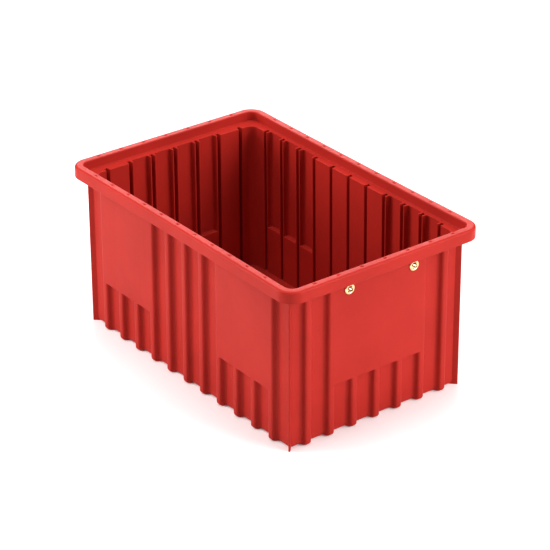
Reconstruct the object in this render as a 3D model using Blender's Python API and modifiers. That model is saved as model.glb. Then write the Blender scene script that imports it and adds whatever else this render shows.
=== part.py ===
"""Hanging parts bin: a one-piece corrugated polypropylene bin with two brass hanging eyelets.

Frame: +Z up, origin at the middle of the underside, long axis along Y, and the end that
carries the eyelets faces -Y.  Every length is in metres.
"""
import math

import bmesh
import bpy
from mathutils import Matrix, Vector

# Overall sizes, measured over the rim.
LENGTH = 0.419
WIDTH = 0.271
HEIGHT = 0.203

# Moulded wall.
WALL = 0.0025
FLOOR = 0.003
CORNER_RADIUS = 0.012
CORNER_STEPS = 6

# Corrugation: hollow ribs outside, divider slots inside, one of each at every pitch.
PITCH = 0.032
RIB_DEPTH = 0.0063
RIB_FACE = 0.0078
RIB_FLARE = 0.0019
SLOT_FLOOR = 0.0038
SLOT_MOUTH = 0.0046
SLOT_RIDGE = 0.0020
CORNER_MARGIN = 0.022
RECESS_TOP = 0.179
CORNER_FIN = 0.0022
CORNER_FIN_INSET = 0.0034

# Label panels: bays that are flat outside above a sill, and pocketed inside.
LABEL_SILL = 0.0625
POCKET_SILL = 0.065
LABEL_BAYS = 3

# Rim: an inverted channel that stands out from the walls on a shelf.
RIM_OVERHANG_SIDE = 0.0122
RIM_OVERHANG_END = 0.0157
RIM_LAND = 0.0103
RIM_DEPTH = 0.014
SHELF_DROP = 0.0115
SHELF_REACH = 0.009
SHELF_STEP = 0.0003
RIM_CORNER_RADIUS = 0.0205
RIM_OUTER_ROUND = 0.0022
RIM_INNER_ROUND = 0.0013
RIM_DROP_SLOPE = 0.0005
RIM_CORNER_STEPS = 9
EDGE_STEPS = 3

# Hanging eyelets through one end: a rolled brass barrel, clinched over a washer inside.
EYELET_INSET_LEFT = 0.023
EYELET_INSET_RIGHT = 0.015
EYELET_BELOW_RIM = 0.0137
EYELET_BORE = 0.0032
EYELET_SKIN = 0.0005
FLANGE_RADIUS = 0.0065
FLANGE_CROWN = 0.0014
LIP_RADIUS = 0.0052
LIP_CROWN = 0.0010
WASHER_RADIUS = 0.0054
WASHER_THICKNESS = 0.0008
ROUND_STEPS = 24
FLANGE_STEPS = 8
LIP_STEPS = 5
FIT_GAP = 0.0003
SEAT_GAP = 0.0005
PAST = 0.004

# Planes worked out from the driving sizes.
FACE_X = WIDTH / 2 - RIM_OVERHANG_SIDE
FACE_Y = LENGTH / 2 - RIM_OVERHANG_END
RECESS_X = FACE_X - RIB_DEPTH
RECESS_Y = FACE_Y - RIB_DEPTH
INNER_X = RECESS_X - WALL
INNER_Y = RECESS_Y - WALL
DEEP_X = FACE_X - WALL
DEEP_Y = FACE_Y - WALL
SHELF_Z = HEIGHT - SHELF_DROP
SKIRT_Z = HEIGHT - RIM_DEPTH
EYELET_Z = SKIRT_Z - EYELET_BELOW_RIM
BARREL_RADIUS = EYELET_BORE + EYELET_SKIN
WALL_TOP = (SHELF_Z + SKIRT_Z) / 2
RIBS_Y = math.floor((FACE_Y - CORNER_MARGIN) / PITCH)
RIBS_X = math.floor((FACE_X - CORNER_MARGIN) / PITCH)
RIDGE_EDGE = SLOT_MOUTH / 2 + SLOT_RIDGE

RED = (0.68, 0.045, 0.035, 1.0)
BRASS = (0.72, 0.47, 0.20, 1.0)


def clear_scene():
    for old in list(bpy.data.objects):
        bpy.data.objects.remove(old, do_unlink=True)


def make_material(name, color, roughness, metallic):
    material = bpy.data.materials.new(name)
    material.use_nodes = True
    shader = material.node_tree.nodes["Principled BSDF"]
    shader.inputs["Base Color"].default_value = color
    shader.inputs["Roughness"].default_value = roughness
    shader.inputs["Metallic"].default_value = metallic
    material.diffuse_color = color
    return material


def new_collection(name):
    collection = bpy.data.collections.new(name)
    bpy.context.scene.collection.children.link(collection)
    return collection


def add_object(name, data, collection):
    piece = bpy.data.objects.new(name, data)
    collection.objects.link(piece)
    return piece


def hide_cutter(cutter):
    cutter.hide_render = True
    cutter.display_type = "WIRE"
    return cutter


def settled_mesh(name, shape):
    """Turn a bmesh in world coordinates into a mesh.

    Coordinates are rounded to a ten-thousandth of a millimetre, so faces of different
    solids that are meant to be level are exactly level when they are joined.
    """
    for vertex in shape.verts:
        vertex.co = [round(value, 7) for value in vertex.co]
    mesh = bpy.data.meshes.new(name)
    shape.to_mesh(mesh)
    shape.free()
    return mesh


def curve_to_mesh(curve_object):
    """Replace a curve object by the closed mesh that it draws, in world coordinates."""
    bpy.context.view_layer.update()
    graph = bpy.context.evaluated_depsgraph_get()
    drawn = bpy.data.meshes.new_from_object(curve_object.evaluated_get(graph))
    drawn.transform(curve_object.matrix_world)
    shape = bmesh.new()
    shape.from_mesh(drawn)
    bmesh.ops.remove_doubles(shape, verts=shape.verts, dist=0.00001)
    bmesh.ops.recalc_face_normals(shape, faces=shape.faces)
    name = curve_object.name
    collection = curve_object.users_collection[0]
    bpy.data.objects.remove(curve_object, do_unlink=True)
    bpy.data.meshes.remove(drawn)
    return add_object(name, settled_mesh(name, shape), collection)


def prism(name, outline, low, high, collection):
    """Upright prism over a closed outline, made as a filled and extruded flat curve."""
    curve = bpy.data.curves.new(name, "CURVE")
    curve.dimensions = "2D"
    curve.fill_mode = "BOTH"
    curve.extrude = (high - low) / 2
    spline = curve.splines.new("POLY")
    spline.points.add(len(outline) - 1)
    for point, (x, y) in zip(spline.points, outline):
        point.co = (x, y, 0, 1)
    spline.use_cyclic_u = True
    solid = add_object(name, curve, collection)
    solid.location.z = (low + high) / 2
    return curve_to_mesh(solid)


def block(name, low, high, collection, turn=0.0):
    """Box between two corners, turned about its own upright axis."""
    low = Vector(low)
    high = Vector(high)
    place = Matrix.Translation((low + high) / 2) @ Matrix.Rotation(turn, 4, "Z")
    shape = bmesh.new()
    bmesh.ops.create_cube(shape, size=1)
    bmesh.ops.scale(shape, vec=high - low, verts=shape.verts)
    bmesh.ops.transform(shape, matrix=place, verts=shape.verts)
    return add_object(name, settled_mesh(name, shape), collection)


def arc(centre_x, centre_y, radius, start, sweep, steps):
    """Points along a round corner, both ends included; angles in degrees."""
    angles = [math.radians(start + sweep * step / steps) for step in range(steps + 1)]
    return [(centre_x + radius * math.cos(a), centre_y + radius * math.sin(a)) for a in angles]


def walk_round(side_points):
    """Joins the points of four sides, each given for a wall that faces +X, anticlockwise."""
    outline = []
    for side, (cos, sin) in enumerate(((1, 0), (0, 1), (-1, 0), (0, -1))):
        outline += [(cos * x - sin * y, sin * x + cos * y) for x, y in side_points(side % 2 == 1)]
    return outline


def rounded_outline(half_x, half_y, radius, steps):
    def side_points(is_end):
        reach, run = (half_y, half_x) if is_end else (half_x, half_y)
        return arc(reach - radius, run - radius, radius, 0, 90, steps)
    return walk_round(side_points)


def corrugated_outline(half_x, half_y, radius, base, top):
    """Rounded rectangle with a tapered bump outwards at every pitch.

    A bump is `base` wide on the rectangle and `top` wide at RIB_DEPTH outside it.
    """
    def side_points(is_end):
        reach, run, ribs = (half_y, half_x, RIBS_X) if is_end else (half_x, half_y, RIBS_Y)
        points = []
        for index in range(-ribs, ribs + 1):
            along = index * PITCH
            points.append((reach, along - base / 2))
            points.append((reach + RIB_DEPTH, along - top / 2))
            points.append((reach + RIB_DEPTH, along + top / 2))
            points.append((reach, along + base / 2))
        return points + arc(reach - radius, run - radius, radius, 0, 90, CORNER_STEPS)
    return walk_round(side_points)


def label_zones():
    """Flat panels as (axis of the outward normal, side, start, end) along the wall."""
    outer = RIBS_Y * PITCH
    inner = (RIBS_Y - LABEL_BAYS) * PITCH
    middle = (RIBS_X - 1) * PITCH
    zones = []
    for side in (-1, 1):
        zones.append(("x", side, inner, outer))
        zones.append(("x", side, -outer, -inner))
        zones.append(("y", side, -middle, middle))
    return zones


def wall_block(name, axis, side, near, far, start, end, low, high, collection):
    """Box against a wall: near to far from the middle, start to end along the wall."""
    across = sorted((side * near, side * far))
    if axis == "x":
        return block(name, (across[0], start, low), (across[1], end, high), collection)
    return block(name, (start, across[0], low), (end, across[1], high), collection)


def add_label_panels(adds):
    for number, (axis, side, start, end) in enumerate(label_zones()):
        near, far = (INNER_X, FACE_X) if axis == "x" else (INNER_Y, FACE_Y)
        wall_block(f"panel_{number}", axis, side, near, far, start, end, LABEL_SILL, WALL_TOP, adds)


def add_pocket_cutters(cuts):
    """Inside a label panel, each bay is cut back to leave a thin ridge beside its slots."""
    for number, (axis, side, start, end) in enumerate(label_zones()):
        near, far = (INNER_X, DEEP_X) if axis == "x" else (INNER_Y, DEEP_Y)
        for bay in range(round((end - start) / PITCH)):
            low = start + bay * PITCH + RIDGE_EDGE
            high = start + (bay + 1) * PITCH - RIDGE_EDGE
            cutter = wall_block(f"pocket_{number}_{bay}", axis, side, near - PAST, far, low, high,
                                POCKET_SILL, HEIGHT + PAST, cuts)
            hide_cutter(cutter)


def add_corner_fins(adds):
    """A thin upright fin stands out diagonally from each rounded corner."""
    tip_inset = CORNER_FIN_INSET / math.sqrt(2)
    root_inset = CORNER_RADIUS * (1 - math.sqrt(0.5)) + WALL / 2
    for number, (sign_x, sign_y) in enumerate(((1, 1), (-1, 1), (-1, -1), (1, -1))):
        tip = Vector((sign_x * (FACE_X - tip_inset), sign_y * (FACE_Y - tip_inset), 0))
        root = Vector((sign_x * (RECESS_X - root_inset), sign_y * (RECESS_Y - root_inset), 0))
        half = Vector(((tip - root).length / 2, CORNER_FIN / 2, 0))
        middle = (tip + root) / 2
        low = middle - half
        high = middle + half
        low.z = FLOOR / 2
        high.z = WALL_TOP
        block(f"fin_{number}", low, high, adds, math.atan2(sign_y, sign_x))


def add_band(adds):
    """Above the recesses the wall runs round at the ribs' face."""
    outline = rounded_outline(FACE_X, FACE_Y, CORNER_RADIUS + RIB_DEPTH, CORNER_STEPS)
    prism("band", outline, RECESS_TOP, WALL_TOP, adds)


def rim_section():
    """The rim's section as (distance in from its outer face, height)."""
    top = HEIGHT
    outer = arc(RIM_OUTER_ROUND, top - RIM_OUTER_ROUND, RIM_OUTER_ROUND, 180, -90, EDGE_STEPS)
    inner = arc(RIM_LAND - RIM_INNER_ROUND, top - RIM_INNER_ROUND, RIM_INNER_ROUND, 90, -90, EDGE_STEPS)
    reach = RIM_LAND + SHELF_REACH
    section = [(0, SKIRT_Z)] + outer + inner
    section += [(RIM_LAND + RIM_DROP_SLOPE, SHELF_Z), (reach, SHELF_Z), (reach, SKIRT_Z)]
    section += [(RIM_LAND - WALL, SKIRT_Z), (RIM_LAND - WALL, top - WALL)]
    section += [(WALL, top - WALL), (WALL, SKIRT_Z)]
    return section


def add_rim(adds):
    """The rim's section swept once round the bin, as a closed curve with a profile."""
    profile_curve = bpy.data.curves.new("rim_profile", "CURVE")
    profile_curve.dimensions = "2D"
    section = rim_section()
    spline = profile_curve.splines.new("POLY")
    spline.points.add(len(section) - 1)
    for point, (inward, height) in zip(spline.points, section):
        point.co = (inward, height, 0, 1)
    spline.use_cyclic_u = True
    profile = add_object("rim_profile", profile_curve, adds)
    path = bpy.data.curves.new("rim", "CURVE")
    path.dimensions = "2D"
    path.fill_mode = "NONE"
    path.bevel_mode = "OBJECT"
    path.bevel_object = profile
    points = rounded_outline(WIDTH / 2, LENGTH / 2, RIM_CORNER_RADIUS, RIM_CORNER_STEPS)
    track = path.splines.new("POLY")
    track.points.add(len(points) - 1)
    for point, (x, y) in zip(track.points, points):
        point.co = (x, y, 0, 1)
    track.use_cyclic_u = True
    rim = curve_to_mesh(add_object("rim", path, adds))
    bpy.data.objects.remove(profile, do_unlink=True)
    return rim


def eyelet_places():
    """The eyelets stand in from the two edges of the end's label panel."""
    edge = (RIBS_X - 1) * PITCH
    return {"left": -edge + EYELET_INSET_LEFT, "right": edge - EYELET_INSET_RIGHT}


def bar_cutter(name, radius, near_y, far_y, x, cuts):
    """Round bar along Y."""
    middle = Vector((x, (near_y + far_y) / 2, EYELET_Z))
    place = Matrix.Translation(middle) @ Matrix.Rotation(math.radians(90), 4, "X")
    shape = bmesh.new()
    bmesh.ops.create_cone(shape, cap_ends=True, segments=ROUND_STEPS, radius1=radius, radius2=radius,
                          depth=abs(far_y - near_y), matrix=place)
    return hide_cutter(add_object(name, settled_mesh(name, shape), cuts))


def add_eyelet_cutters(cuts):
    """A hole through the wall, and a round seat that keeps ridges off the washer."""
    for side, x in eyelet_places().items():
        bar_cutter(f"eyelet_hole_{side}", BARREL_RADIUS + FIT_GAP, -FACE_Y - PAST, -INNER_Y, x, cuts)
        bar_cutter(f"washer_seat_{side}", WASHER_RADIUS + SEAT_GAP, -DEEP_Y, -INNER_Y + PAST, x, cuts)


def boolean(target, operation, collection):
    modifier = target.modifiers.new(operation.lower(), "BOOLEAN")
    modifier.operation = operation
    modifier.solver = "EXACT"
    modifier.operand_type = "COLLECTION"
    modifier.collection = collection


def make_bin_body(parts, adds, cuts, material):
    """Corrugated shell: outer prism plus panels, fins, band and rim, less everything inside."""
    rib_base = RIB_FACE + 2 * RIB_FLARE
    outline = corrugated_outline(RECESS_X, RECESS_Y, CORNER_RADIUS, rib_base, RIB_FACE)
    body = prism("bin_body", outline, 0, SHELF_Z - SHELF_STEP, parts)
    add_label_panels(adds)
    add_corner_fins(adds)
    add_band(adds)
    add_rim(adds)
    for solid in adds.objects:
        hide_cutter(solid)
    inner = corrugated_outline(INNER_X, INNER_Y, CORNER_RADIUS - WALL, SLOT_MOUTH, SLOT_FLOOR)
    hide_cutter(prism("cavity", inner, FLOOR, HEIGHT + PAST, cuts))
    add_pocket_cutters(cuts)
    add_eyelet_cutters(cuts)
    boolean(body, "UNION", adds)
    boolean(body, "DIFFERENCE", cuts)
    body.data.materials.append(material)
    return body


def turned(name, profile, x, y, parts, material):
    """Ring turned about an axis along Y, from (radius, distance outwards) points."""
    mesh = bpy.data.meshes.new(name)
    count = len(profile)
    edges = [(index, (index + 1) % count) for index in range(count)]
    mesh.from_pydata([(radius, 0, out) for radius, out in profile], edges, [])
    piece = add_object(name, mesh, parts)
    turn = piece.modifiers.new("turn", "SCREW")
    turn.angle = math.radians(360)
    turn.steps = ROUND_STEPS
    turn.render_steps = ROUND_STEPS
    turn.use_merge_vertices = True
    turn.merge_threshold = 0.00001
    turn.use_smooth_shade = True
    piece.rotation_euler.x = math.radians(90)
    piece.location = (x, y, EYELET_Z)
    piece.data.materials.append(material)
    return piece


def rolled(inner, outer, crown, start, steps):
    """Half an ellipse from the bore over a rolled edge to its outer rim, as (radius, height)."""
    middle = (inner + outer) / 2
    half = (outer - inner) / 2
    angles = [math.radians(180 - 180 * step / steps) for step in range(steps + 1)]
    return [(middle + half * math.cos(a), start + crown * math.sin(a)) for a in angles]


def make_eyelet(side, x, parts, material):
    """Rolled flange outside, barrel through the wall, and a lip rolled over the washer inside."""
    lip_seat = -WALL - WASHER_THICKNESS - 2 * FIT_GAP
    flange = rolled(EYELET_BORE, FLANGE_RADIUS, FLANGE_CROWN, FIT_GAP, FLANGE_STEPS)
    lip = rolled(EYELET_BORE, LIP_RADIUS, -LIP_CROWN, lip_seat, LIP_STEPS)
    lip.reverse()
    profile = flange + [(BARREL_RADIUS, FIT_GAP), (BARREL_RADIUS, lip_seat)] + lip
    return turned(f"eyelet_{side}", profile, x, -FACE_Y, parts, material)


def make_washer(side, x, parts, material):
    inner = BARREL_RADIUS + FIT_GAP
    top = -FIT_GAP
    bottom = top - WASHER_THICKNESS
    profile = [(inner, top), (WASHER_RADIUS, top), (WASHER_RADIUS, bottom), (inner, bottom)]
    return turned(f"eyelet_washer_{side}", profile, x, -DEEP_Y, parts, material)


def main():
    clear_scene()
    parts = new_collection("hanging_parts_bin")
    adds = new_collection("bin_body_additions")
    cuts = new_collection("bin_body_cutters")
    red = make_material("red_polypropylene", RED, 0.42, 0.0)
    brass = make_material("brass", BRASS, 0.3, 1.0)
    make_bin_body(parts, adds, cuts, red)
    for side, x in eyelet_places().items():
        make_eyelet(side, x, parts, brass)
        make_washer(side, x, parts, brass)
    bpy.context.view_layer.update()


main()
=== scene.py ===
# Looks of the hanging parts bin: a fine moulded shell, rolled brass eyelets, materials and light.
import math

import bmesh
import bpy
from mathutils import Matrix, Vector


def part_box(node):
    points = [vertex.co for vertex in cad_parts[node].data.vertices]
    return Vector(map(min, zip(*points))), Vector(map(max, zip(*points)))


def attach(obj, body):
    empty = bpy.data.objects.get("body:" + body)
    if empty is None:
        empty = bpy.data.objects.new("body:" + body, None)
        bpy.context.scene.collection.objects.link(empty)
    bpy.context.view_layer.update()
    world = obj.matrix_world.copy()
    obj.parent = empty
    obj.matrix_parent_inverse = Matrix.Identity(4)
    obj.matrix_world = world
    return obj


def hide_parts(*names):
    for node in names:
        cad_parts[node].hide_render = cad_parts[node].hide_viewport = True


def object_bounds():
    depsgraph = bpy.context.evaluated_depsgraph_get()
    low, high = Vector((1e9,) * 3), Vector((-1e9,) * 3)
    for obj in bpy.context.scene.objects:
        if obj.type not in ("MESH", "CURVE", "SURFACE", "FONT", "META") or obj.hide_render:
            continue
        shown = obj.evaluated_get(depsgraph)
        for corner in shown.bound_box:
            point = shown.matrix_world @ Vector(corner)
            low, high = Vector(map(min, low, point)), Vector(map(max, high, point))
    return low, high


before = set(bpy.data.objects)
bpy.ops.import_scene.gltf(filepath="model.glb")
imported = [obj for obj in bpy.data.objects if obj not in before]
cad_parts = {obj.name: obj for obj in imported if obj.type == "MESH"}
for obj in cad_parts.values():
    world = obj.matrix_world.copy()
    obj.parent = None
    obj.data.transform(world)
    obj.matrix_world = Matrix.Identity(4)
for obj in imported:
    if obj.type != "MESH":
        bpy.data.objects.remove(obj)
cad_low, cad_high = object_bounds()

MM = 0.001

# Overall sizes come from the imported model.
HALF_X = cad_high[0]
HALF_Y = cad_high[1]
HEIGHT = cad_high[2]

# Wall and corrugation.
WALL = 2.5 * MM
FLOOR = 3.0 * MM
PITCH = 32.0 * MM
RIB_DEPTH = 6.3 * MM
RIB_FACE = 7.8 * MM
RIB_FLARE = 1.9 * MM
SLOT_FLOOR = 3.8 * MM
SLOT_MOUTH = 4.6 * MM
SLOT_RIDGE = 2.0 * MM
OUTER_CORNER_ROUND = 2.5 * MM
BAND_CORNER_ROUND = 18.3 * MM
INNER_CORNER_ROUND = 9.5 * MM
CORNER_STEPS = 10
RIBS_LONG = 5
RIBS_END = 3
LABEL_BAYS = 3
RIM_OVERHANG_SIDE = 12.2 * MM
RIM_OVERHANG_END = 15.7 * MM
FACE_X = HALF_X - RIM_OVERHANG_SIDE
FACE_Y = HALF_Y - RIM_OVERHANG_END

# Thin upright fin on each corner; past the root line both ways a point belongs to the fin.
FIN_THICKNESS = 2.2 * MM
FIN_TIP_INSET = 3.4 * MM
FIN_CLEAR_ANGLE = 14
FIN_ROOT_LINE = -5.6 * MM
FIN_ROOT_ROUND = 1.4 * MM
FIN_TIP_ROUND = 1.05 * MM

# Where the recesses and pockets end.
LABEL_SILL = 62.5 * MM
POCKET_SILL = 65.0 * MM
RECESS_TOP = 179.0 * MM
FLARE_START = 175.0 * MM
FLARE_END = 184.5 * MM
CEILING_RISE = 0.3 * MM

# Edge rounding of the moulding.  The base round fades in between its two ramp distances
# behind the rib faces, so each face is only drawn in along its own wall.
RIB_ROUND = 2.6 * MM
FOOT_ROUND = 3.6 * MM
SLOT_ROUND = 0.6 * MM
RIDGE_ROUND = 0.7 * MM
BASE_ROUND = 4.5 * MM
BASE_STEPS = 8
BASE_RAMP_START = 17.0 * MM
BASE_RAMP_END = 7.0 * MM
FLOOR_ROUND = 1.2 * MM
LEDGE_ROUND = 0.5 * MM
CEILING_ROUND = 1.0 * MM
SILL_ROUND = 0.9 * MM

# Points in each kind of round, and how far a round may take up the edges beside it.
ROUND_STEPS = 4
SMALL_STEPS = 3
TIGHT_STEPS = 2
FLARE_STEPS = 8
EDGE_SHARE = 0.48
MITRE_LIMIT = 0.6

# Plain levels of the walls, between the ones that the recesses and pockets need.
WALL_LEVELS = tuple(height * MM for height in (20, 40, 90, 120, 150))
INNER_TOP_LEVEL = 170 * MM
LEVEL_GAP = 0.02 * MM

# Rim.
RIM_LAND = 10.3 * MM
RIM_DEPTH = 14.0 * MM
SHELF_DROP = 11.5 * MM
SKIRT_Z = HEIGHT - RIM_DEPTH
SHELF_Z = HEIGHT - SHELF_DROP
RIM_CORNER_RADIUS = 20.5 * MM
RIM_CORNER_STEPS = 18
RIM_OUTER_ROUND = 3.0 * MM
RIM_INNER_ROUND = 1.3 * MM
RIM_OUTER_STEPS = 6
RIM_INNER_STEPS = 4
RIM_DROP_SLOPE = 0.5 * MM
SHELF_FOOT_ROUND = 0.8 * MM
CHANNEL_ROUND = 1 * MM
SKIRT_EDGE_ROUND = 0.6 * MM
TICK_LENGTH = 4.2 * MM
TICK_WIDTH = 1.5 * MM
TICK_DEPTH = 0.8 * MM
TICK_BLEND = 0.18 * MM

# The long walls of such a moulding bow in slightly at mid length.
WALL_BOW = 1.5 * MM

# Eyelets.
EYELET_BORE = 3.2 * MM
EYELET_SKIN = 0.5 * MM
EYELET_FILLET = 0.25 * MM
FLANGE_CROWN = 1.4 * MM
FLANGE_STEPS = 16
LIP_RADIUS = 5.2 * MM
LIP_CROWN = 1.0 * MM
LIP_STEPS = 10
FIT_GAP = 0.3 * MM
WASHER_EDGE = 0.12 * MM
EYELET_TURNS = 72

# Holes for the eyelets: the bore through the wall and the washer's round seat behind it.
BORE_RADIUS = 4.0 * MM
SEAT_RADIUS = 5.9 * MM
SEAT_SKIN = 0.04 * MM
BORE_OUTSIDE = 3 * MM
BORE_INSIDE = 9 * MM
BORE_TURNS = 56

# Points closer than this are one point; open edges this close to a level lie on it.
WELD = 0.002 * MM
LEVEL_TOLERANCE = 0.01 * MM

# Colours, linear.
PLASTIC_REDS = ((0.35, (0.43, 0.031, 0.022)), (0.65, (0.47, 0.035, 0.025)))
BRASS_TONES = ((0.3, (0.72, 0.53, 0.26)), (0.7, (0.88, 0.72, 0.43)))
PLASTIC_ROUGHNESS = (0.36, 0.44)
BRASS_ROUGHNESS = (0.2, 0.34)
DRAW_STRETCH = (1, 1, 0.04)
SCRATCH_STRETCH = (1, 6, 1)

# Camera and studio.
CAMERA_PLACE = (-1.52333, -2.01151, 1.40783)
CAMERA_AXES = ((0.79460, -0.60712, -0.00436), (0.28256, 0.36345, 0.88773), (0.53737, 0.70662, -0.46035))
CAMERA_LENS = 162.09
CAMERA_SENSOR = 36
CAMERA_REACH = 50
FLOOR_HALF = 8.0
FLOOR_TONES = ((0.3, (0.86, 0.86, 0.86)), (0.7, (0.9, 0.9, 0.9)))
LIGHT_AIM = (0, 0, 0.1)
FLOOR_GLOW = 0.12
WORLD_STRENGTH = 0.13
VIEW_GAMMA = 0.86

# Name, place, size and power of each softbox.
SOFTBOXES = (
    ("left_back", (-1.6, 1.3, 0.8), (1.0, 1.0), 34),
    ("left_high", (-1.0, 0.35, 1.6), (1.2, 1.0), 12),
    ("right", (0.9, -1.7, 0.9), (1.2, 1.0), 33),
    ("right_high", (0.9, -1.0, 1.6), (1.2, 1.0), 10),
    ("top", (0.1, 0.2, 2.4), (1.8, 1.8), 40),
    ("back_low", (1.5, 2.0, 1.25), (1.6, 0.7), 30),
)


# ---------------------------------------------------------------- plan outlines

def rounded(corners):
    """Rounds each (x, y, reach, steps) corner of a closed outline; every corner keeps its point count."""
    points = []
    count = len(corners)
    for index, (x, y, reach, steps) in enumerate(corners):
        here = Vector((x, y))
        if steps == 0:
            points.append(here)
            continue
        before = Vector(corners[index - 1][:2])
        after = Vector(corners[(index + 1) % count][:2])
        back = before - here
        ahead = after - here
        span = min(reach, EDGE_SHARE * back.length, EDGE_SHARE * ahead.length)
        start = here + back.normalized() * span
        end = here + ahead.normalized() * span
        for step in range(steps + 1):
            t = step / steps
            points.append(start * (1 - t) ** 2 + here * 2 * t * (1 - t) + end * t ** 2)
    return points


def arc(centre, radius, start, sweep, steps):
    angles = [math.radians(start + sweep * step / steps) for step in range(steps + 1)]
    return [(centre[0] + radius * math.cos(a), centre[1] + radius * math.sin(a)) for a in angles]


def turned_side(side, x, y):
    """A point of a wall that faces +X, turned to the wall of that side, anticlockwise."""
    cos, sin = ((1, 0), (0, 1), (-1, 0), (0, -1))[side]
    return (cos * x - sin * y, sin * x + cos * y)


def wall_layout(side):
    """(distance of the rib face, half run, ribs each way) of one of the four walls."""
    return (FACE_X, FACE_Y, RIBS_LONG) if side % 2 == 0 else (FACE_Y, FACE_X, RIBS_END)


def is_label_bay(side, index):
    """True where the bay between ribs index and index + 1 carries a label panel."""
    if side % 2 == 1:
        return -RIBS_END < index < RIBS_END - 1
    return index >= RIBS_LONG - LABEL_BAYS or index < -RIBS_LONG + LABEL_BAYS


def outer_outline(low_depth, full_depth, corner_depth):
    """Outer plan at one height: depth of the low, the full and the corner recesses there."""
    slope = RIB_FLARE / RIB_DEPTH
    corners = []
    for side in range(4):
        reach, run, ribs = wall_layout(side)
        for index in range(-ribs, ribs + 1):
            along = index * PITCH
            before = low_depth if is_label_bay(side, index - 1) else full_depth
            after = low_depth if is_label_bay(side, index) else full_depth
            if index == -ribs:
                before = corner_depth
            if index == ribs:
                after = corner_depth
            for depth, sign in ((before, -1), (after, 1)):
                edge = (reach, along + sign * RIB_FACE / 2, RIB_ROUND, ROUND_STEPS)
                spread = RIB_FACE / 2 + slope * depth
                foot = (reach - depth, along + sign * spread, FOOT_ROUND, ROUND_STEPS)
                pair = (foot, edge) if sign < 0 else (edge, foot)
                corners += [(*turned_side(side, x, y), size, steps) for x, y, size, steps in pair]
        fin = fin_corner(reach, run, corner_depth)
        corners += [(*turned_side(side, x, y), size, steps) for x, y, size, steps in fin]
    return rounded(corners)


def fin_corner(reach, run, depth):
    """Corner of a wall pair at that recess depth, with the thin diagonal fin on it."""
    radius = OUTER_CORNER_ROUND + (BAND_CORNER_ROUND - OUTER_CORNER_ROUND) * (1 - depth / RIB_DEPTH)
    inset = depth + radius
    centre = (reach - inset, run - inset)
    half = FIN_THICKNESS / 2
    swing = 45 - math.degrees(math.asin(half / radius)) - FIN_CLEAR_ANGLE
    diagonal = math.sqrt(0.5)
    root = math.sqrt(radius ** 2 - half ** 2)
    tip = (inset - FIN_TIP_INSET * diagonal) / diagonal
    points = [(x, y, 0, 0) for x, y in arc(centre, radius, 0, swing, CORNER_STEPS // 2)]
    for out, across, size in ((root, -half, FIN_ROOT_ROUND), (tip, -half, FIN_TIP_ROUND),
                              (tip, half, FIN_TIP_ROUND), (root, half, FIN_ROOT_ROUND)):
        x = centre[0] + (out - across) * diagonal
        y = centre[1] + (out + across) * diagonal
        points.append((x, y, size, ROUND_STEPS))
    points += [(x, y, 0, 0) for x, y in arc(centre, radius, 90 - swing, swing, CORNER_STEPS // 2)]
    return points


def inner_outline(pocket_depth):
    """Inner plan at one height: depth there of the pockets behind the label panels."""
    corners = []
    for side in range(4):
        reach, run, ribs = wall_layout(side)
        raised = reach - RIB_DEPTH - WALL
        deep = reach - WALL
        for index in range(-ribs, ribs + 1):
            along = index * PITCH
            before = pocket_depth if index > -ribs and is_label_bay(side, index - 1) else 0
            after = pocket_depth if index < ribs and is_label_bay(side, index) else 0
            mouth = SLOT_MOUTH / 2
            ridge = mouth + SLOT_RIDGE
            group = [
                (raised + before, along - ridge, FOOT_ROUND, TIGHT_STEPS),
                (raised, along - ridge, RIDGE_ROUND, TIGHT_STEPS),
                (raised, along - mouth, RIDGE_ROUND, TIGHT_STEPS),
                (deep, along - SLOT_FLOOR / 2, SLOT_ROUND, TIGHT_STEPS),
                (deep, along + SLOT_FLOOR / 2, SLOT_ROUND, TIGHT_STEPS),
                (raised, along + mouth, RIDGE_ROUND, TIGHT_STEPS),
                (raised, along + ridge, RIDGE_ROUND, TIGHT_STEPS),
                (raised + after, along + ridge, FOOT_ROUND, TIGHT_STEPS),
            ]
            corners += [(*turned_side(side, x, y), size, steps) for x, y, size, steps in group]
        centre = (raised - INNER_CORNER_ROUND, run - RIB_DEPTH - WALL - INNER_CORNER_ROUND)
        bend = arc(centre, INNER_CORNER_ROUND, 0, 90, CORNER_STEPS)
        corners += [(*turned_side(side, *point), 0, 0) for point in bend]
    return rounded(corners)


def pushed(points, distance):
    """The closed outline moved outwards by that distance; points that coincide stay together."""
    count = len(points)
    moved = []
    for index, here in enumerate(points):
        back = index - 1
        while (points[back % count] - here).length < WELD:
            back -= 1
        ahead = index + 1
        while (points[ahead % count] - here).length < WELD:
            ahead += 1
        into = (here - points[back % count]).normalized()
        away = (points[ahead % count] - here).normalized()
        normal = Vector((into.y + away.y, -into.x - away.x)).normalized()
        stretch = 1 / max(MITRE_LIMIT, normal.dot(Vector((into.y, -into.x))))
        moved.append(here + normal * distance * stretch)
    return moved


# ---------------------------------------------------------------- heights

def recess_depth(height, top):
    """Depth of a recess whose nearly level ceiling is at that top, rounded into both walls."""
    inner = CEILING_ROUND
    outer = CEILING_ROUND
    if height <= top - inner:
        return RIB_DEPTH
    if height <= top:
        return RIB_DEPTH - inner + math.sqrt(max(0, inner ** 2 - (height - top + inner) ** 2))
    if height >= top + CEILING_RISE + outer:
        return 0
    if height < top + CEILING_RISE:
        share = (height - top) / CEILING_RISE
        return (RIB_DEPTH - inner) * (1 - share) + outer * share
    return outer - math.sqrt(max(0, outer ** 2 - (top + CEILING_RISE + outer - height) ** 2))


def sine_shares(steps):
    """Shares of a quarter round's rise, closer together towards its end."""
    return [math.sin(math.radians(90 * step / steps)) for step in range(steps + 1)]


def ceiling_heights(top):
    rise = CEILING_ROUND
    shares = sine_shares(ROUND_STEPS)
    below = [top - rise + rise * share for share in shares]
    above = [top + CEILING_RISE + rise - rise * share for share in shares]
    return below + above


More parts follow.
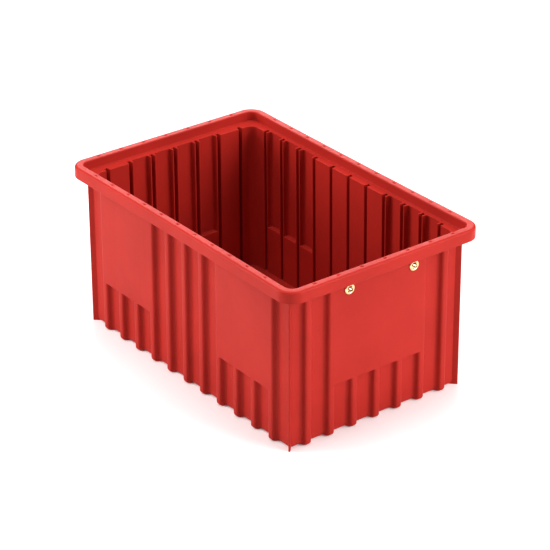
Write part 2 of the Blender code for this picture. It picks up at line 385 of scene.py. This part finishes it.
def flare_depth(height):
    """Depth of a corner recess, which curves out to the rib face under the rim."""
    if height <= FLARE_START:
        return RIB_DEPTH
    if height >= FLARE_END:
        return 0
    share = (height - FLARE_START) / (FLARE_END - FLARE_START)
    return RIB_DEPTH * math.sqrt(1 - share ** 2)


def flare_heights():
    shares = sine_shares(FLARE_STEPS)
    return [FLARE_START + (FLARE_END - FLARE_START) * share for share in shares]


def spaced(heights, gap=LEVEL_GAP):
    """Sorted heights with near repeats left out."""
    kept = []
    for height in sorted(heights):
        if not kept or height - kept[-1] > gap:
            kept.append(height)
    return kept


def quarter(steps):
    """(inset, rise) shares of a quarter round, from a level face to an upright one."""
    return [(1 - math.sin(math.radians(90 * s / steps)), 1 - math.cos(math.radians(90 * s / steps)))
            for s in range(steps + 1)]


# ---------------------------------------------------------------- shell mesh

def add_ring(mesh, points, height):
    if not isinstance(height, (list, tuple)):
        height = [height] * len(points)
    return [mesh.verts.new((p[0], p[1], z)) for p, z in zip(points, height)]


def join_rings(mesh, lower, upper):
    """Quads between two rings of the same count; the outside is to the right going anticlockwise."""
    count = len(lower)
    for index in range(count):
        after = (index + 1) % count
        mesh.faces.new((lower[index], lower[after], upper[after], upper[index]))


def stack(mesh, rings):
    for lower, upper in zip(rings, rings[1:]):
        join_rings(mesh, lower, upper)


def drawn_in(points, distance):
    """The outer plan with its faces drawn in by that distance; the corner fins keep their reach."""
    moved = []
    for point in points:
        shares = []
        for value, face in ((point.x, FACE_X), (point.y, FACE_Y)):
            share = (abs(value) - face + BASE_RAMP_START) / (BASE_RAMP_START - BASE_RAMP_END)
            shares.append(min(1, max(0, share)))
        if min(abs(point.x) - FACE_X, abs(point.y) - FACE_Y) > FIN_ROOT_LINE:
            shares = [0, 0]
        moved.append(Vector((point.x - math.copysign(distance * shares[0], point.x),
                             point.y - math.copysign(distance * shares[1], point.y))))
    return moved


def outer_wall(mesh):
    foot = outer_outline(RIB_DEPTH, RIB_DEPTH, RIB_DEPTH)
    rings = [add_ring(mesh, drawn_in(foot, BASE_ROUND * inset), BASE_ROUND * rise)
             for inset, rise in quarter(BASE_STEPS)]
    heights = ceiling_heights(LABEL_SILL) + ceiling_heights(RECESS_TOP) + flare_heights()
    heights += [*WALL_LEVELS, SKIRT_Z]
    for height in spaced(heights):
        low = recess_depth(height, LABEL_SILL)
        full = recess_depth(height, RECESS_TOP)
        rings.append(add_ring(mesh, outer_outline(low, full, flare_depth(height)), height))
    stack(mesh, rings)


def pocket_depth(height):
    """Depth of a label panel's inside pocket, above its nearly level sill."""
    size = SILL_ROUND
    if height <= POCKET_SILL - size:
        return 0
    if height <= POCKET_SILL:
        return size - math.sqrt(max(0, size ** 2 - (height - POCKET_SILL + size) ** 2))
    if height >= POCKET_SILL + CEILING_RISE + size:
        return RIB_DEPTH
    if height < POCKET_SILL + CEILING_RISE:
        share = (height - POCKET_SILL) / CEILING_RISE
        return size * (1 - share) + (RIB_DEPTH - size) * share
    left = POCKET_SILL + CEILING_RISE + size - height
    return RIB_DEPTH - size + math.sqrt(max(0, size ** 2 - left ** 2))


def inner_wall(mesh):
    foot = inner_outline(0)
    rings = []
    for inset, rise in reversed(quarter(SMALL_STEPS)):
        rings.append(add_ring(mesh, pushed(foot, -FLOOR_ROUND * inset), FLOOR + FLOOR_ROUND * rise))
    rings.reverse()
    shares = sine_shares(ROUND_STEPS)
    heights = [POCKET_SILL - SILL_ROUND + SILL_ROUND * share for share in shares]
    heights += [POCKET_SILL + CEILING_RISE + SILL_ROUND - SILL_ROUND * share for share in shares]
    heights += [*WALL_LEVELS, INNER_TOP_LEVEL]
    for height in spaced(heights):
        rings.append(add_ring(mesh, inner_outline(pocket_depth(height)), height))
    mouth = inner_outline(RIB_DEPTH)
    for inset, rise in reversed(quarter(SMALL_STEPS)):
        rings.append(add_ring(mesh, pushed(mouth, LEDGE_ROUND * inset), SHELF_Z - LEDGE_ROUND * rise))
    rings.reverse()
    stack(mesh, rings)


def tick_steps(length):
    """(offset, share of the full depth) across a tick of that length, with its blended edges."""
    half = length / 2
    return ((-half - TICK_BLEND, 0), (-half, 1), (half, 1), (half + TICK_BLEND, 0))


def rim_stations():
    """(point, outward normal, share of a tick) round the rim's outer face, anticlockwise."""
    stations = []
    for side in range(4):
        reach, run = (HALF_X, HALF_Y) if side % 2 == 0 else (HALF_Y, HALF_X)
        ribs = RIBS_LONG if side % 2 == 0 else RIBS_END
        for index in range(-ribs, ribs + 1):
            along = index * PITCH
            for offset, share in tick_steps(TICK_LENGTH):
                place = turned_side(side, reach, along + offset)
                stations.append((place, turned_side(side, 1, 0), share))
        centre = (reach - RIM_CORNER_RADIUS, run - RIM_CORNER_RADIUS)
        for step in range(RIM_CORNER_STEPS + 1):
            angle = math.radians(90 * step / RIM_CORNER_STEPS)
            normal = (math.cos(angle), math.sin(angle))
            point = [middle + RIM_CORNER_RADIUS * way for middle, way in zip(centre, normal)]
            stations.append((turned_side(side, *point), turned_side(side, *normal), 0))
    return stations


def round_between(start, corner, end, steps):
    """Points of a small round from start to end, pulled towards the corner."""
    points = []
    for step in range(steps + 1):
        t = step / steps
        points.append(tuple(a * (1 - t) ** 2 + b * 2 * t * (1 - t) + c * t ** 2
                            for a, b, c in zip(start, corner, end)))
    return points


def rim_section():
    """The rim's section, from the channel's inner wall round to the shelf.

    Each point is (distance in from the outer face, height, share of a tick's depth).
    """
    top = HEIGHT
    edge = SKIRT_EDGE_ROUND
    size = CHANNEL_ROUND
    inner = RIM_LAND - WALL
    roof = top - WALL
    section = [(inner, SKIRT_Z)]
    section += round_between((inner, roof - size), (inner, roof), (inner - size, roof), SMALL_STEPS)
    section += round_between((WALL + size, roof), (WALL, roof), (WALL, roof - size), SMALL_STEPS)
    section += round_between((WALL, SKIRT_Z + edge), (WALL, SKIRT_Z), (WALL - edge, SKIRT_Z), SMALL_STEPS)
    section += round_between((edge, SKIRT_Z), (0, SKIRT_Z), (0, SKIRT_Z + edge), SMALL_STEPS)
    for step in range(RIM_OUTER_STEPS + 1):
        angle = math.radians(90 * step / RIM_OUTER_STEPS)
        inward = RIM_OUTER_ROUND * (1 - math.cos(angle))
        section.append((inward, top - RIM_OUTER_ROUND * (1 - math.sin(angle))))
    section = [(inward, height, 0) for inward, height in section]
    middle = (RIM_OUTER_ROUND + RIM_LAND - RIM_INNER_ROUND) / 2
    section += [(middle + offset, top, share) for offset, share in tick_steps(TICK_WIDTH)]
    for step in range(RIM_INNER_STEPS + 1):
        angle = math.radians(90 * step / RIM_INNER_STEPS)
        inward = RIM_LAND - RIM_INNER_ROUND * (1 - math.sin(angle))
        section.append((inward, top - RIM_INNER_ROUND * (1 - math.cos(angle)), 0))
    foot = RIM_LAND + RIM_DROP_SLOPE
    size = SHELF_FOOT_ROUND
    turn_in = round_between((foot, SHELF_Z + size), (foot, SHELF_Z), (foot + size, SHELF_Z), SMALL_STEPS)
    section += [(*point, 0) for point in turn_in]
    return section


def rim(mesh):
    stations = rim_stations()
    rings = []
    for inward, height, dip in rim_section():
        points = [(p[0] - n[0] * inward, p[1] - n[1] * inward) for p, n, share in stations]
        heights = [height - TICK_DEPTH * dip * share for p, n, share in stations]
        rings.append(add_ring(mesh, points, heights))
    stack(mesh, rings)


def fill_level(mesh, height, upward):
    """Fills the flat area between the open edges that lie at that height."""
    edges = [e for e in mesh.edges if e.is_boundary
             and all(abs(v.co.z - height) < LEVEL_TOLERANCE for v in e.verts)]
    made = bmesh.ops.triangle_fill(mesh, edges=edges, use_beauty=True, use_dissolve=False)
    faces = [f for f in made["geom"] if isinstance(f, bmesh.types.BMFace)]
    for face in faces:
        if (face.normal.z > 0) != upward:
            face.normal_flip()


def bow_walls(mesh):
    """Draws the long walls in a little towards mid length and the rim."""
    for vertex in mesh.verts:
        along = min(1, abs(vertex.co.y) / HALF_Y)
        share = (1 - along ** 2) * (vertex.co.z / HEIGHT) * min(1, abs(vertex.co.x) / FACE_X)
        vertex.co.x -= math.copysign(WALL_BOW * share, vertex.co.x)


def make_shell():
    mesh = bmesh.new()
    outer_wall(mesh)
    rim(mesh)
    inner_wall(mesh)
    bmesh.ops.remove_doubles(mesh, verts=mesh.verts, dist=WELD)
    fill_level(mesh, 0, False)
    fill_level(mesh, FLOOR, True)
    fill_level(mesh, SKIRT_Z, False)
    fill_level(mesh, SHELF_Z, True)
    bmesh.ops.recalc_face_normals(mesh, faces=mesh.faces)
    return mesh


def finish_mesh(name, mesh, material):
    data = bpy.data.meshes.new(name)
    mesh.to_mesh(data)
    mesh.free()
    data.shade_smooth()
    piece = bpy.data.objects.new(name, data)
    bpy.context.scene.collection.objects.link(piece)
    data.materials.append(material)
    return piece


# ---------------------------------------------------------------- materials

def node_tree(name):
    material = bpy.data.materials.new(name)
    material.use_nodes = True
    return material, material.node_tree.nodes, material.node_tree.links


def noise(nodes, links, source, scale, detail, roughness=0.5):
    texture = nodes.new("ShaderNodeTexNoise")
    texture.inputs["Scale"].default_value = scale
    texture.inputs["Detail"].default_value = detail
    texture.inputs["Roughness"].default_value = roughness
    links.new(source, texture.inputs["Vector"])
    return texture.outputs["Fac"]


def ramp(nodes, links, source, stops):
    """Colour ramp over a factor, from (position, colour) stops."""
    node = nodes.new("ShaderNodeValToRGB")
    links.new(source, node.inputs["Fac"])
    elements = node.color_ramp.elements
    for index, (position, colour) in enumerate(stops):
        element = elements[index] if index < 2 else elements.new(position)
        element.position = position
        element.color = (*colour, 1)
    return node.outputs["Color"]


def level(nodes, links, source, low, high):
    """A factor remapped from around its middle to a range."""
    node = nodes.new("ShaderNodeMapRange")
    node.inputs["From Min"].default_value = 0.3
    node.inputs["From Max"].default_value = 0.7
    node.inputs["To Min"].default_value = low
    node.inputs["To Max"].default_value = high
    links.new(source, node.inputs["Value"])
    return node.outputs["Result"]


def bump(nodes, links, height, distance, strength, under=None):
    node = nodes.new("ShaderNodeBump")
    node.inputs["Distance"].default_value = distance
    node.inputs["Strength"].default_value = strength
    links.new(height, node.inputs["Height"])
    if under is not None:
        links.new(under, node.inputs["Normal"])
    return node.outputs["Normal"]


def stretched(nodes, links, source, scale):
    node = nodes.new("ShaderNodeMapping")
    node.inputs["Scale"].default_value = scale
    links.new(source, node.inputs["Vector"])
    return node.outputs["Vector"]


def moulded_plastic():
    """Satin red polypropylene: faint colour drift, draw marks and a fine mould grain."""
    material, nodes, links = node_tree("red_polypropylene_satin")
    shader = nodes["Principled BSDF"]
    place = nodes.new("ShaderNodeTexCoord").outputs["Object"]
    drift = noise(nodes, links, place, scale=14, detail=3)
    links.new(ramp(nodes, links, drift, PLASTIC_REDS), shader.inputs["Base Color"])
    streaks = noise(nodes, links, stretched(nodes, links, place, DRAW_STRETCH), scale=160, detail=2)
    links.new(level(nodes, links, streaks, *PLASTIC_ROUGHNESS), shader.inputs["Roughness"])
    shader.inputs["IOR"].default_value = 1.49
    shader.inputs["Specular IOR Level"].default_value = 0.11
    swell = noise(nodes, links, place, scale=22, detail=2)
    speck = noise(nodes, links, place, scale=1500, detail=2)
    wave = bump(nodes, links, swell, distance=0.5 * MM, strength=0.35)
    draw = bump(nodes, links, streaks, distance=0.05 * MM, strength=0.25, under=wave)
    grain = bump(nodes, links, speck, distance=0.06 * MM, strength=0.35, under=draw)
    links.new(grain, shader.inputs["Normal"])
    return material


def bright_brass():
    """Pressed sheet brass: warm tarnish in patches, fine scratches, a soft polish."""
    material, nodes, links = node_tree("brass_pressed")
    shader = nodes["Principled BSDF"]
    place = nodes.new("ShaderNodeTexCoord").outputs["Object"]
    patches = noise(nodes, links, place, scale=420, detail=4, roughness=0.6)
    links.new(ramp(nodes, links, patches, BRASS_TONES), shader.inputs["Base Color"])
    shader.inputs["Metallic"].default_value = 1
    polish = noise(nodes, links, place, scale=900, detail=3)
    links.new(level(nodes, links, polish, *BRASS_ROUGHNESS), shader.inputs["Roughness"])
    scratches = noise(nodes, links, stretched(nodes, links, place, SCRATCH_STRETCH), scale=2200, detail=3)
    links.new(bump(nodes, links, scratches, distance=0.02 * MM, strength=0.3), shader.inputs["Normal"])
    return material


# ---------------------------------------------------------------- eyelets

def half_ellipse(inner, outer, crown, start, steps):
    """From the bore over a rolled edge to its outer rim, as (radius, distance outwards)."""
    middle = (inner + outer) / 2
    half = (outer - inner) / 2
    points = []
    for step in range(steps + 1):
        angle = math.radians(180 - 180 * step / steps)
        points.append((middle + half * math.cos(angle), start + crown * math.sin(angle)))
    return points


def turn(name, profile, place, material):
    """Closed (radius, distance outwards) profile turned about an axis along -Y through that place."""
    mesh = bmesh.new()
    rings = []
    for step in range(EYELET_TURNS):
        angle = math.radians(360 * step / EYELET_TURNS)
        rings.append([mesh.verts.new((place[0] + radius * math.cos(angle), place[1] - out,
                                      place[2] + radius * math.sin(angle))) for radius, out in profile])
    for index, ring in enumerate(rings):
        join_rings(mesh, ring, rings[(index + 1) % EYELET_TURNS])
    bmesh.ops.recalc_face_normals(mesh, faces=mesh.faces)
    return finish_mesh(name, mesh, material)


def make_eyelet(side, brass):
    """Rolled eyelet and its clinched washer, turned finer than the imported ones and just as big."""
    low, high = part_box(f"eyelet_{side}")
    washer_low, washer_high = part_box(f"eyelet_washer_{side}")
    centre = ((low[0] + high[0]) / 2, (low[2] + high[2]) / 2)
    flange = (high[0] - low[0]) / 2
    seat = -FACE_Y - FIT_GAP
    inside = seat - washer_high[1] - FIT_GAP
    barrel = EYELET_BORE + EYELET_SKIN
    profile = half_ellipse(EYELET_BORE, flange, FLANGE_CROWN, 0, FLANGE_STEPS)
    lip = half_ellipse(EYELET_BORE, LIP_RADIUS, -LIP_CROWN, inside, LIP_STEPS)
    lip.reverse()
    profile += [(barrel + EYELET_FILLET, 0), (barrel, -EYELET_FILLET), (barrel, inside)] + lip
    eyelet = turn(f"eyelet_{side}_brass", profile, (centre[0], seat, centre[1]), brass)
    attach(eyelet, "root")
    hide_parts(f"eyelet_{side}")
    outer = (washer_high[0] - washer_low[0]) / 2
    inner = barrel + FIT_GAP
    thick = washer_high[1] - washer_low[1]
    edge = WASHER_EDGE
    profile = [(inner, -edge), (inner + edge, 0), (outer - edge, 0), (outer, -edge)]
    profile += [(outer, edge - thick), (outer - edge, -thick), (inner + edge, -thick), (inner, edge - thick)]
    washer = turn(f"eyelet_washer_{side}_brass", profile, (centre[0], washer_low[1], centre[1]), brass)
    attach(washer, "root")
    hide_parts(f"eyelet_washer_{side}")


def round_cutter(radius, x, z, start, end):
    """Round bar along Y between two distances from the middle."""
    mesh = bmesh.new()
    upright = Matrix.Rotation(math.pi / 2, 4, "X")
    bmesh.ops.create_cone(mesh, cap_ends=True, segments=BORE_TURNS, radius1=radius, radius2=radius,
                          depth=end - start)
    place = Matrix.Translation((x, (start + end) / 2, z)) @ upright
    bmesh.ops.transform(mesh, matrix=place, verts=mesh.verts)
    data = bpy.data.meshes.new("bore")
    mesh.to_mesh(data)
    mesh.free()
    cutter = bpy.data.objects.new("bore", data)
    bpy.context.scene.collection.objects.link(cutter)
    return cutter


def cut_eyelet_holes(shell):
    """Takes the bores through the wall, and the washers' seats through the ridges beside them."""
    for side in ("left", "right"):
        low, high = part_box(f"eyelet_{side}")
        x = (low[0] + high[0]) / 2
        z = (low[2] + high[2]) / 2
        for radius, start in ((BORE_RADIUS, -FACE_Y - BORE_OUTSIDE),
                              (SEAT_RADIUS, -FACE_Y + WALL + SEAT_SKIN)):
            cutter = round_cutter(radius, x, z, start, -FACE_Y + BORE_INSIDE)
            cut = shell.modifiers.new("bore", "BOOLEAN")
            cut.operation = "DIFFERENCE"
            cut.solver = "EXACT"
            cut.object = cutter
            apply_modifiers(shell)
            bpy.data.objects.remove(cutter)


def apply_modifiers(piece):
    graph = bpy.context.evaluated_depsgraph_get()
    made = bpy.data.meshes.new_from_object(piece.evaluated_get(graph))
    piece.modifiers.clear()
    piece.data = made


def build():
    plastic = moulded_plastic()
    brass = bright_brass()
    mesh = make_shell()
    bow_walls(mesh)
    shell = finish_mesh("bin_shell", mesh, plastic)
    cut_eyelet_holes(shell)
    shell.modifiers.new("flat_faces", "WEIGHTED_NORMAL")
    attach(shell, "root")
    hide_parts("bin_body")
    for side in ("left", "right"):
        make_eyelet(side, brass)


# ---------------------------------------------------------------- stage

def make_floor():
    mesh = bmesh.new()
    bmesh.ops.create_grid(mesh, x_segments=4, y_segments=4, size=FLOOR_HALF)
    material, nodes, links = node_tree("pale_floor")
    shader = nodes["Principled BSDF"]
    place = nodes.new("ShaderNodeTexCoord").outputs["Object"]
    tone = noise(nodes, links, place, scale=3, detail=2)
    links.new(ramp(nodes, links, tone, FLOOR_TONES), shader.inputs["Base Color"])
    shader.inputs["Roughness"].default_value = 0.9
    shader.inputs["Specular IOR Level"].default_value = 0
    shader.inputs["Emission Color"].default_value = (1, 1, 1, 1)
    shader.inputs["Emission Strength"].default_value = FLOOR_GLOW
    finish_mesh("floor", mesh, material)


def softbox(name, place, size, power):
    data = bpy.data.lights.new(name, "AREA")
    data.shape = "RECTANGLE"
    data.size, data.size_y = size
    data.energy = power
    light = bpy.data.objects.new(name, data)
    light.location = place
    light.rotation_euler = (Vector(LIGHT_AIM) - Vector(place)).to_track_quat("-Z", "Y").to_euler()
    bpy.context.scene.collection.objects.link(light)


def make_camera():
    data = bpy.data.cameras.new("camera")
    data.lens = CAMERA_LENS
    data.sensor_width = CAMERA_SENSOR
    data.clip_end = CAMERA_REACH
    camera = bpy.data.objects.new("camera", data)
    bpy.context.scene.collection.objects.link(camera)
    right, up, ahead = (Vector(axis) for axis in CAMERA_AXES)
    turned = Matrix((right, up, -ahead)).transposed()
    camera.matrix_world = Matrix.Translation(CAMERA_PLACE) @ turned.to_4x4()
    bpy.context.scene.camera = camera


def light_and_stage():
    make_floor()
    for box in SOFTBOXES:
        softbox(*box)
    world = bpy.data.worlds.new("studio")
    bpy.context.scene.world = world
    world.use_nodes = True
    background = world.node_tree.nodes["Background"]
    background.inputs["Color"].default_value = (1, 1, 1, 1)
    background.inputs["Strength"].default_value = WORLD_STRENGTH
    view = bpy.context.scene.view_settings
    view.view_transform = "Standard"
    view.gamma = VIEW_GAMMA


build()
make_camera()
light_and_stage()
